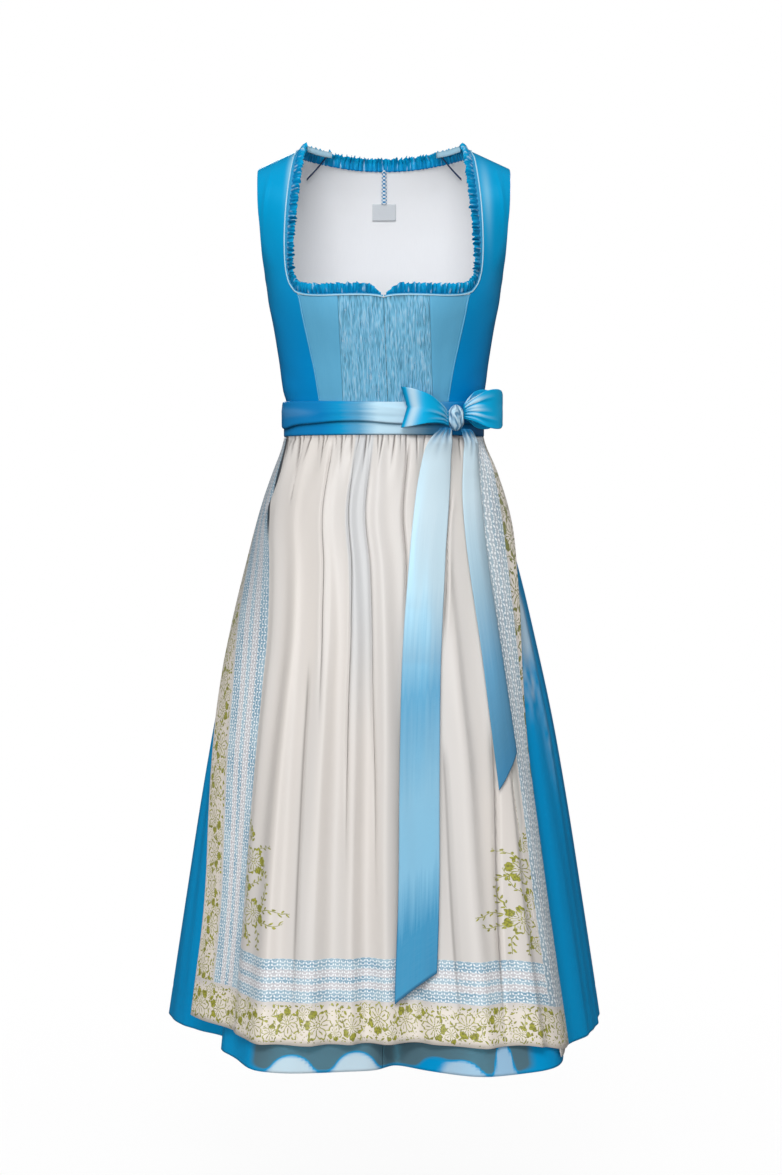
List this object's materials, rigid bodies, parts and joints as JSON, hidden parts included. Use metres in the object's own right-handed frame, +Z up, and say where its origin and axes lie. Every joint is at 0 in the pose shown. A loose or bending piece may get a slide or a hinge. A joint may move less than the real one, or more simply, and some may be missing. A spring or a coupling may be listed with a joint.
{
  "type": "dirndl dress",
  "caption": "Sleeveless midi dress with a ruffled square neckline, a ruched front, a gathered skirt, and an apron tied at the waist with a ribbon bow; hollow, in its worn form.",
  "frame": {"origin": "where the wearer's shoulders carry the dress: midway between the two shoulder straps, at the height of the inner ends of the shoulder seams", "axes": "+Z up, along the standing wearer; the front faces -Y; +X is the wearer's left side"},
  "size_m": [0.6152, 0.6428, 1.2335],
  "materials": {
    "satin": "changeant satin, smooth with a soft sheen",
    "light_satin": "fine light blue cloth with a low sheen",
    "ribbon": "satin ribbon, blue with a pale sheen",
    "apron_print": "pale silk-like cloth with a printed border",
    "lining": "plain woven lining",
    "label": "plain woven label"
  },
  "bodies": {
    "root": {"side_front_left": "satin", "side_front_right": "satin", "side_back_left": "satin", "side_back_right": "satin", "centre_back": "satin", "skirt_front_left": "satin", "skirt_front_right": "satin", "skirt_back_left": "satin", "skirt_back_right": "satin", "front_ruffle_left": "satin", "front_ruffle_right": "satin", "back_ruffle": "satin", "apron_waistband": "satin", "front_panel_left": "light_satin", "front_panel_right": "light_satin", "ruched_insert_left": "light_satin", "ruched_insert_right": "light_satin", "neck_piping_left": "light_satin", "neck_piping_right": "light_satin", "back_neck_piping": "light_satin", "seam_piping_left": "light_satin", "seam_piping_right": "light_satin", "hanging_braid": "light_satin", "tie_wrap": "ribbon", "bow_knot": "ribbon", "bow_loop_left": "ribbon", "bow_loop_right": "ribbon", "ribbon_tail_long": "ribbon", "ribbon_tail_short": "ribbon", "apron": "apron_print", "back_lining": "lining", "label": "label"}
  },
  "joints": []
}
